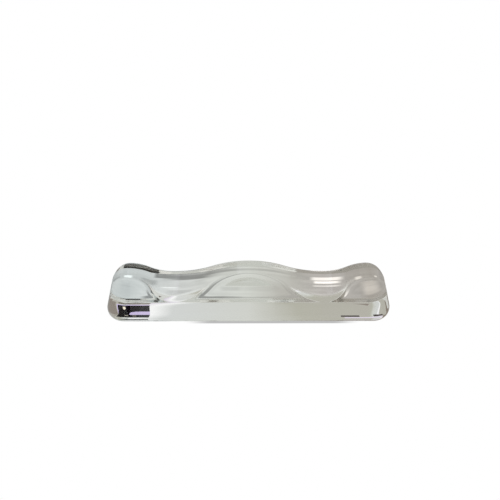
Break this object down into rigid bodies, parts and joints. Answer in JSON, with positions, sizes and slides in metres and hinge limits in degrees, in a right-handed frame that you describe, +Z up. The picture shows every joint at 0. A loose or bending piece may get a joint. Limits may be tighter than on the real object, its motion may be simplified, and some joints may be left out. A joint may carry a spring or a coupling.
{
  "type": "knife rest",
  "caption": "Low bar of clear glass with sloping rounded sides and a wavy top, whose smooth dips between the humps hold a knife's blade or handle off the table.",
  "frame": {"origin": "middle of the flat foot, on the table", "axes": "+X along the bar, +Y away from the viewer across the bar, +Z up"},
  "size_m": [0.095, 0.0192, 0.0173],
  "materials": {
    "clear_glass": "fire-polished, clear, very faint grey-green tint"
  },
  "bodies": {
    "root": {"glass_rest": "clear_glass"}
  },
  "joints": []
}
